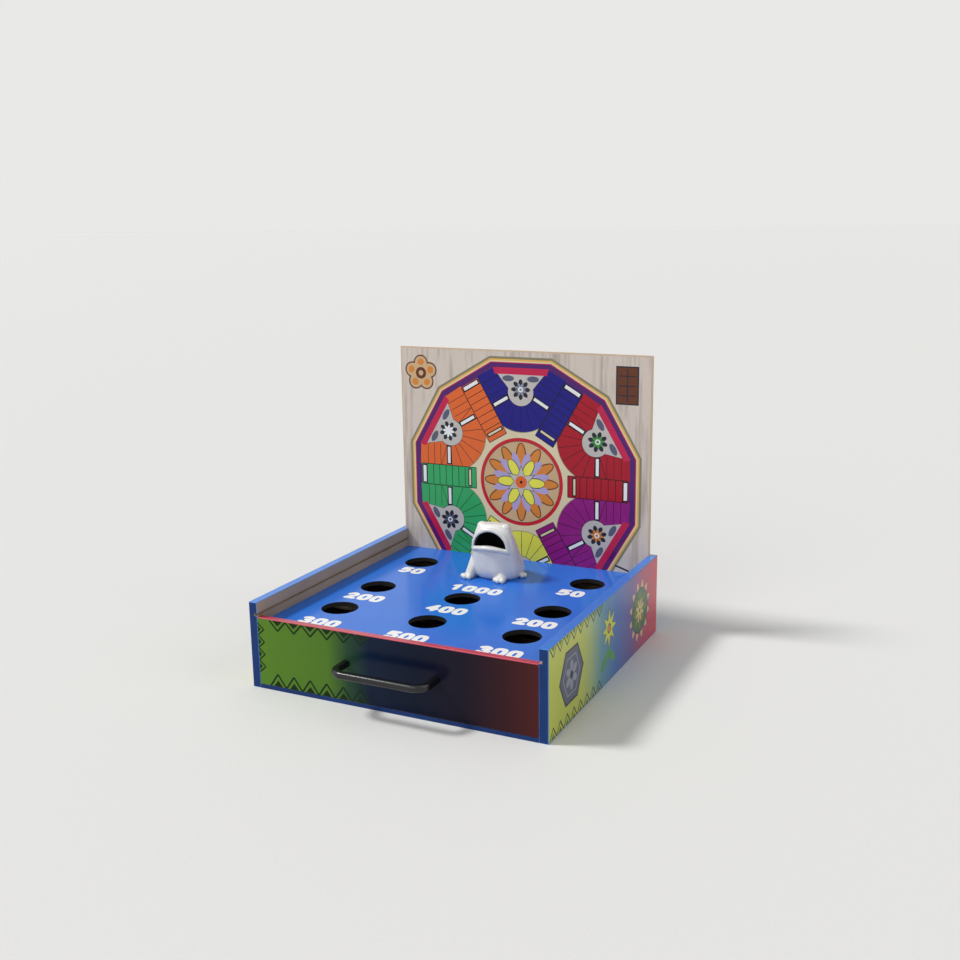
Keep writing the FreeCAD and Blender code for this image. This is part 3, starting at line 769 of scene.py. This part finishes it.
COUNTER_COLOURS = {"red": "#C0182F", "orange": "#EA6A2C", "yellow": "#E0DC3E", "green": "#2E9E5C",
                   "blue": "#241E96", "purple": "#8A2084"}
COUNTER_RADIUS = 7.0
COUNTER_PITCH = 20.0
COUNTER_PROFILE = ((0, 0.3), (5.4, 0.3), (5.8, 0.0), (6.7, 0.0), (COUNTER_RADIUS, 0.4), (COUNTER_RADIUS, 1.9),
                   (6.5, 2.4), (6.1, 3.0), (6.1, 4.2), (6.4, 4.7), (6.3, 5.6), (5.6, 6.7), (4.2, 7.5),
                   (2.2, 7.9), (0, 8.0))
for name, code in COUNTER_COLOURS.items():
    low, high = (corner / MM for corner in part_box("counters_" + name))
    row = [((low.x + high.x) / 2, low.y + COUNTER_RADIUS + COUNTER_PITCH * i, DRAWER_FLOOR) for i in range(4)]
    lathed("counters_" + name, "drawer", COUNTER_PROFILE, row,
           moulded("moulded_plastic_" + name, code))


# Dice
# Two ivory plastic dice of 12 mm with rounded edges; their dished pips are painted black.

PIP_PLACES = {1: [(0, 0)], 2: [(-1, -1), (1, 1)], 3: [(-1, -1), (0, 0), (1, 1)],
              4: [(-1, -1), (-1, 1), (1, -1), (1, 1)], 5: [(-1, -1), (-1, 1), (0, 0), (1, -1), (1, 1)],
              6: [(-1, -1), (-1, 0), (-1, 1), (1, -1), (1, 0), (1, 1)]}
DIE_HALF = 6.0
PIP_PITCH = 3.0
PIP_BALL = 1.8                 # radius of the ball that dishes a pip
PIP_DEPTH = 0.7
dice = dressed("dice", "drawer", [moulded("moulded_plastic_ivory", "#EDE6D2")])
low, high = (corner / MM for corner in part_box("dice"))
pips = bmesh.new()
for x, up_value, front_value, side_value in ((low.x + DIE_HALF, 5, 1, 4), (high.x - DIE_HALF, 3, 6, 2)):
    centre = Vector((x, (low.y + high.y) / 2, (low.z + high.z) / 2))
    for axis, value in ((2, up_value), (1, 7 - front_value), (0, side_value)):
        for sign, count in ((1, value), (-1, 7 - value)):
            for a, b in PIP_PLACES[count]:
                at = [a * PIP_PITCH, b * PIP_PITCH]
                at.insert(axis, sign * (DIE_HALF + PIP_BALL - PIP_DEPTH))
                bmesh.ops.create_icosphere(pips, subdivisions=3, radius=PIP_BALL * MM,
                                           matrix=Matrix.Translation((centre + Vector(at)) * MM))
for face in pips.faces:
    face.smooth = True
carved(dice, pips, moulded("black_pip_paint", "#16161A"))


# Backboard
# 3 mm MDF that stands in the two slots. Its edges and back are plain board, a little paler than the box.

pale_board = raw_mdf("pale_sanded_mdf", "#D8C3A8", "#C0A88C")
dressed("backboard", "backboard", [pale_board], ease_mm=0.3)


# Board skin
# Printed vinyl on the front of the backboard: a race game for six players on a ground of whitewashed
# planks. Six lanes and six homes fill a twelve-sided field, with flowers in the homes and in the middle.

BOARD_FACE = 192.675
BOARD_CENTRE = (0.0, 209.5)
FIELD = 168.0                  # middle of the field to its flats
FIELD_RINGS = ((188.0, "khaki"), (184.5, "gold"), (182.0, "cream"), (180.0, "crimson"), (178.5, "plum"),
               (FIELD + 1, "black"))
HUB = 104.0                    # radius of the cream ground behind the fans
RING = 67.5                    # radius of the ring round the middle flower
LANE = 16.2                    # half width of one lane
CELL = 11.0                    # length of a cell
LANE_START = 75.0              # inner end of a middle lane, from the board's centre
MIDDLE_LANE = (94.0, 160.0)    # cells of a middle lane
OUTER_LANE = (124.5, 168.0)    # cells of an outer lane
END_BAR = 3.5                  # middle of an outer lane's end bar, before its first cell
BAR_FRAME = (1.6, 2.0)         # frame of a middle lane's bars, along and across the lane
HOME_PLACE = 136.0             # home circles
HOME_INNER = 20.5              # radii of a fan of cells
HOME_OUTER = 59.5
FAN_START = 178.0 - math.degrees(math.acos(0.83))     # of its arc, from the way outward
FAN_CELLS = 8
FAN_STEP = 19.5                # angle of a cell in a fan
THIN_LINE = 0.4                # half widths of black lines
LANE_LINE = 0.5
LANE_EDGE = 0.6
HOME_COLOURS = ("red", "navy", "orange", "green", "yellow", "violet")
HOME_ACCENTS = ("leaf", "fog", "white", "slate", "sand", "amber")

inks.update({name: ink(name, code) for name, code in {
    "red": "#B2162B", "navy": "#1D1883", "orange": "#EA6C33", "green": "#38AE67", "yellow": "#F0EC58",
    "violet": "#951D7F", "black": "#17151A", "cream": "#E6D8B2", "crimson": "#CC2450", "gold": "#EBB957",
    "plum": "#54246E", "khaki": "#8D876C", "ring": "#CF2434", "brown": "#6A3A26", "lilac": "#B7AAD6",
    "stone": "#C9C3BC",
}.items()})


def whitewashed(name):
    """Printed planks: pale vertical grain with soft darker streaks."""
    material, tree, shader, place = finish_of("vinyl_print_" + name, {"IOR": 1.5})
    grain = speckle(tree, place, 5.0, 6.0, (1.0, 1.0, 14.0))
    streaks = speckle(tree, place, 38.0, 2.0, (1.0, 1.0, 9.0))
    tone = add(tree, "ShaderNodeMath", {0: grain, 1: streaks}, operation="ADD").outputs["Value"]
    printed(tree, shader, between(tree, tone, linear("#B9AA9C"), linear("#D8CBBE"), 0.74, 1.2), place)
    return material


inks["planks"] = whitewashed("planks")


def in_arm(name, outline, direction):
    """Art drawn with u outward from the board's centre, turned into its arm of the field."""
    return (name, turned(outline, direction, BOARD_CENTRE))


def framed_bar(u, half_u, half_v, direction, fill):
    """Finishing bar across a lane, in a black frame."""
    box = rectangle(u - half_u, -half_v, u + half_u, half_v)
    inner = [(u + (a - u) * (1 - BAR_FRAME[0] / half_u), b * (1 - BAR_FRAME[1] / half_v)) for a, b in box]
    return [in_arm("black", box, direction), in_arm(fill, inner, direction)]


def in_outer_lane(u, across, side):
    """Place in the outer lane at one side of a home, which leaves the board's centre at 30 degrees."""
    out, up = math.cos(math.radians(30)), math.sin(math.radians(30))
    return (u * out + across * up, side * (u * up - across * out))


def home(direction, colour, accent):
    """A home with its fan of cells, its flower and the two outer lanes beside it."""
    rim = arc(HOME_PLACE, 0, HOME_OUTER + 1.0, FAN_START, 360 - FAN_START, 24)
    fan = arc(HOME_PLACE, 0, HOME_OUTER, FAN_START, 360 - FAN_START, 24)
    corners = [in_outer_lane(OUTER_LANE[1] + 3, LANE, side) for side in (-1, 1)]
    field = fan + [corners[0], (FIELD + 2, -45.0), (FIELD + 2, 45.0), corners[1]]
    art = [in_arm("khaki", rim, direction), in_arm(colour, field, direction)]
    for i in range(FAN_CELLS + 1):
        angle = math.radians(180 + (i - FAN_CELLS // 2) * FAN_STEP)
        ray = [(HOME_PLACE + r * math.cos(angle), r * math.sin(angle)) for r in (HOME_INNER, HOME_OUTER)]
        art.append(in_arm("black", bar(*ray, THIN_LINE), direction))
    for side in (-1, 1):
        for i in range(1, 4):
            u = OUTER_LANE[0] + i * CELL
            ends = [in_outer_lane(u, across, side) for across in (LANE, 3 * LANE)]
            art.append(in_arm("black", bar(*ends, THIN_LINE), direction))
        ends = [in_outer_lane(u, LANE, side) for u in (LANE_START, OUTER_LANE[1])]
        art.append(in_arm("black", bar(*ends, LANE_LINE), direction))
        for name, near, far, half in (("black", 1.5, 1.0, 4.2), ("white", 3.5, 3.5, 2.3)):
            ends = [in_outer_lane(OUTER_LANE[0] - END_BAR, across, side)
                    for across in (LANE + near, 3 * LANE - far)]
            art.append(in_arm(name, bar(*ends, half), direction))
    garden = arc(HOME_PLACE, 0, HOME_INNER, 75, 285, 24) + [(FIELD - 4, -39.0), (FIELD - 4, 39.0)]
    hedge = [(HOME_PLACE + (u - HOME_PLACE) * 1.03, v * 1.04) for u, v in garden]
    art += [in_arm("black", hedge, direction), in_arm("stone", garden, direction)]
    middle = turned([(HOME_PLACE + 4, 0)], direction, BOARD_CENTRE)[0]
    art += petals(*middle, 8, 9.5, 3.4, "coal", direction)
    art += petals(*middle, 8, 6.0, 2.0, accent, direction + 22.5)
    art += [("white", oval(*middle, 4.0, 4.0, 24)), (accent, oval(*middle, 2.2, 2.2, 20))]
    for side in (-1, 1):
        leaf = [(u + HOME_PLACE + 20, v + side * 20) for u, v in oval(0, 0, 4.5, 9.5, 20)]
        art.append(in_arm("slate", leaf, direction))
    band = [(FIELD - 6, -42.0), (FIELD + 4, -45.0), (FIELD + 4, 45.0), (FIELD - 6, 42.0)]
    art.append(in_arm("crimson", band, direction))
    return art


def middle_lane(direction, colour):
    """The run of cells of one colour down the middle of an arm, with its bars at both ends."""
    first, last = MIDDLE_LANE
    art = [in_arm(colour, rectangle(LANE_START, -LANE, FIELD + 1, LANE), direction)]
    edges = [((LANE_START, side * LANE), (FIELD, side * LANE)) for side in (-1, 1)]
    for a, b in edges + [((LANE_START, -LANE), (LANE_START, LANE))]:
        art.append(in_arm("black", bar(a, b, LANE_EDGE), direction))
    for i in range(round((last - first) / CELL) + 1):
        u = first + i * CELL
        art.append(in_arm("black", bar((u, -LANE), (u, LANE), LANE_LINE), direction))
    art += framed_bar(last + 4.2, 4.2, LANE - 1.2, direction, "white")
    art += framed_bar(first - 8.5, 3.2, LANE - 2.0, direction, "cream")
    return art


board_art = [("planks", whole_print("board_print", 0, 2))]
for to_flat, name in FIELD_RINGS:
    to_corner = to_flat / math.cos(math.radians(15))
    board_art.append((name, turned(oval(0, 0, to_corner, to_corner, 12), 15, BOARD_CENTRE)))
board_art.append(("cream", oval(*BOARD_CENTRE, HUB, HUB, 72)))
for k in range(6):
    board_art += home(60 * k + 30, HOME_COLOURS[k], HOME_ACCENTS[k])
for k in range(6):
    board_art += middle_lane(60 * k, HOME_COLOURS[k])
for name, radius in (("ring", RING), ("black", RING - 5), ("sand", RING - 5.6)):
    board_art.append((name, oval(*BOARD_CENTRE, radius, radius, 96)))
for leaves in ((12, 37.5, 8.7, "brown"), (12, 36.5, 6.8, "amber"), (12, 29.0, 6.3, "lilac", 15.0),
               (6, 24.0, 8.0, "black"), (6, 23.5, 6.8, "yellow")):
    board_art += petals(*BOARD_CENTRE, *leaves)
board_art += [("black", star(*BOARD_CENTRE, 26, 12, 6)), ("stone", star(*BOARD_CENTRE, 24, 11, 6)),
              ("orange", oval(*BOARD_CENTRE, 9.5, 9.5)), ("black", oval(*BOARD_CENTRE, 2.2, 2.2, 20))]

# A flower of five petals at the left corner, a brown panel at the right one, and a stroke low at the right
CORNER_FLOWER = (-167, 367)
for name, out, half_u, half_v in (("brown", 15, 13, 12.5), ("sand", 15, 10.8, 10.3), ("amber", 17, 5, 5.5)):
    petal = oval(out, 0, half_u, half_v)
    board_art += [(name, turned(petal, 72 * k + 18, CORNER_FLOWER)) for k in range(5)]
board_art += [("brown", oval(*CORNER_FLOWER, 9, 9)), ("sand", oval(*CORNER_FLOWER, 4, 4))]
board_art += [("coal", rectangle(148, 336, 182, 391)), ("brown", rectangle(150, 338, 180, 389))]
board_art += [("coal", bar((152, z), (178, z), 0.8)) for z in (349, 363, 377)]
board_art += [("coal", bar((165, 340), (165, 387), 0.8))]
board_art += [("coal", outline) for outline in stroke(through([(151, 97), (161, 94), (170, 91)]), 1.4)]

printed_skin("board_print", "backboard", board_art, inks,
             lambda u, v, over: Vector((u, BOARD_FACE - over, v)) * MM)


# Frog
# A hollow casting in gloss white enamel that stands over the rear middle hole. The outside is smooth and
# rounded everywhere; the inside is coloured near black as painted shade, so the mouth reads black.

def smooth_casting(node, grain_mm, passes):
    """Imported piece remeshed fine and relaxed, so that every crease becomes a soft fillet."""
    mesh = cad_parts[node].data.copy()
    piece = placed(node + "_casting", mesh)
    remesh = piece.modifiers.new("even skin", "REMESH")
    remesh.mode = "VOXEL"
    remesh.voxel_size = grain_mm * MM
    relax = piece.modifiers.new("soft fillets", "SMOOTH")
    relax.factor = 0.5
    relax.iterations = passes
    applied(piece)
    return piece


def enclosed(tree, at, facing):
    """Whether a place on the casting is inside its hollow."""
    start = at + facing * OFF_WALL * MM
    ways = [(1, 0, 0), (-1, 0, 0), (0, 1, 0), (1, 1, 0), (-1, 1, 0), (0, 0, 1)]
    if at.z < UNDER_MOUTH * MM:
        ways += [(0, -1, 0), (1, -1, 0), (-1, -1, 0)]
    return all(tree.ray_cast(start, Vector(way).normalized())[0] for way in ways)


def cast_enamel(name):
    """Gloss enamel on a casting: thick white film, slightly uneven."""
    material, tree, shader, place = finish_of(name, {"IOR": 1.5, "Coat Weight": 0.4, "Coat Roughness": 0.08})
    swells = speckle(tree, place, 7.0, 2.0)
    dust = speckle(tree, place, 16.0, 4.0)
    surface(tree, shader, between(tree, dust, linear("#D6D5D0"), linear("#E4E3DF")),
            level(tree, dust, 0.34, 0.22), swells, 0.12)
    return material


UNDER_MOUTH = 130.0            # below this height the hollow is closed in front too
OFF_WALL = 0.3                 # rays start this far off the wall
FROG_BASE = 88.25
SEAT = 0.5                     # what is this near the base lies flat on it
frog = smooth_casting("frog_body", grain_mm=0.7, passes=5)
# Near-black inside of the hollow: painted shade.
hollow_painted_shade = raw_mdf("painted_shade_casting_inside", "#18181A", "#0C0C0D")
frog.data.materials.clear()
frog.data.materials.append(cast_enamel("gloss_white_enamel"))
frog.data.materials.append(hollow_painted_shade)
casting = bmesh.new()
casting.from_mesh(frog.data)
low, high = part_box("frog_body")
for vertex in casting.verts:
    if vertex.co.z < (FROG_BASE + SEAT) * MM:
        vertex.co.z = FROG_BASE * MM
    vertex.co = Vector(max(a, min(b, c)) for a, b, c in zip(low, high, vertex.co))
casting.normal_update()
walls = BVHTree.FromBMesh(casting)
for face in casting.faces:
    face.smooth = True
    face.material_index = int(enclosed(walls, face.calc_center_median(), face.normal))
casting.to_mesh(frog.data)
casting.free()
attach(frog, "frog")
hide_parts("frog_body")

turned_beech = sawn_wood("turned_beech", "#D9B48A", "#B98C60", grain_mm=1.2, along=2)
dressed("frog_pegs", "frog", [turned_beech])


# Floor, light and camera
# A plain pale floor, a soft key lamp high at the left, two weak fills, and the photograph's viewpoint.

FLOOR_HALF = 60.0
AMBIENT = 0.36                 # strength of the even light
floor_mesh = bpy.data.meshes.new("floor")
floor_mesh.from_pydata([(-FLOOR_HALF, -FLOOR_HALF, 0), (FLOOR_HALF, -FLOOR_HALF, 0),
                        (FLOOR_HALF, FLOOR_HALF, 0), (-FLOOR_HALF, FLOOR_HALF, 0)], [], [(0, 1, 2, 3)])
floor = placed("floor", floor_mesh)
floor_finish, floor_tree, floor_shader, floor_place = finish_of("pale_floor", {"Roughness": 0.7})
floor_tree.links.new(between(floor_tree, speckle(floor_tree, floor_place, 3.0), linear("#DCDBD8"),
                             linear("#DFDEDB")), floor_shader.inputs["Base Color"])
floor_mesh.materials.append(floor_finish)

# The studio: even grey light all round, which the camera and reflections see as a pale backdrop
world = bpy.data.worlds.new("studio")
world.use_nodes = True
sky = world.node_tree
rays = add(sky, "ShaderNodeLightPath").outputs
seen = rays["Is Camera Ray"]
for ray in ("Is Glossy Ray", "Is Transmission Ray"):
    seen = add(sky, "ShaderNodeMath", {0: seen, 1: rays[ray]}, operation="MAXIMUM").outputs["Value"]
backdrop = add(sky, "ShaderNodeBackground", {"Color": linear("#E9E9E7"), "Strength": 1.0})
ambient = add(sky, "ShaderNodeBackground", {"Color": linear("#F2F4F8"), "Strength": AMBIENT})
both = add(sky, "ShaderNodeMixShader", {0: seen, 1: ambient.outputs["Background"],
                                        2: backdrop.outputs["Background"]})
sky.links.new(both.outputs["Shader"], sky.nodes["World Output"].inputs["Surface"])
bpy.context.scene.world = world


def lamp(name, toward, strength, softness):
    """Distant soft lamp that shines toward a direction; softness is its width in degrees."""
    light = bpy.data.lights.new(name, "SUN")
    light.energy = strength
    light.angle = math.radians(softness)
    placed(name, light).rotation_euler = Vector(toward).to_track_quat("-Z", "Y").to_euler()


lamp("key_left", (0.6, 0.22, -0.77), 2.3, 12.0)
lamp("fill_front", (0.12, 0.8, -0.55), 0.55, 40.0)
lamp("fill_right", (-0.8, 0.0, -0.55), 0.45, 40.0)

CAMERA_PLACE = Vector((0.6835, -1.3385, 0.5969))
CAMERA_YAW = math.radians(26.17)
CAMERA_PITCH = math.radians(12.88)
CAMERA_ROLL = math.radians(-0.83)
FOCAL_SHARE = 1145 / 960       # focal length over the picture's width
ahead = Vector((-math.sin(CAMERA_YAW) * math.cos(CAMERA_PITCH), math.cos(CAMERA_YAW) * math.cos(CAMERA_PITCH),
                -math.sin(CAMERA_PITCH)))
level_right = Vector((math.cos(CAMERA_YAW), math.sin(CAMERA_YAW), 0))
level_up = level_right.cross(ahead)
right = math.cos(CAMERA_ROLL) * level_right + math.sin(CAMERA_ROLL) * level_up
up = -math.sin(CAMERA_ROLL) * level_right + math.cos(CAMERA_ROLL) * level_up
lens = bpy.data.cameras.new("photo_view")
lens.sensor_width = 36.0
lens.lens = FOCAL_SHARE * lens.sensor_width
camera = placed("photo_view", lens)
camera.matrix_world = Matrix.Translation(CAMERA_PLACE) @ Matrix((right, up, -ahead)).transposed().to_4x4()
bpy.context.scene.camera = camera
bpy.context.scene.view_settings.view_transform = "Standard"
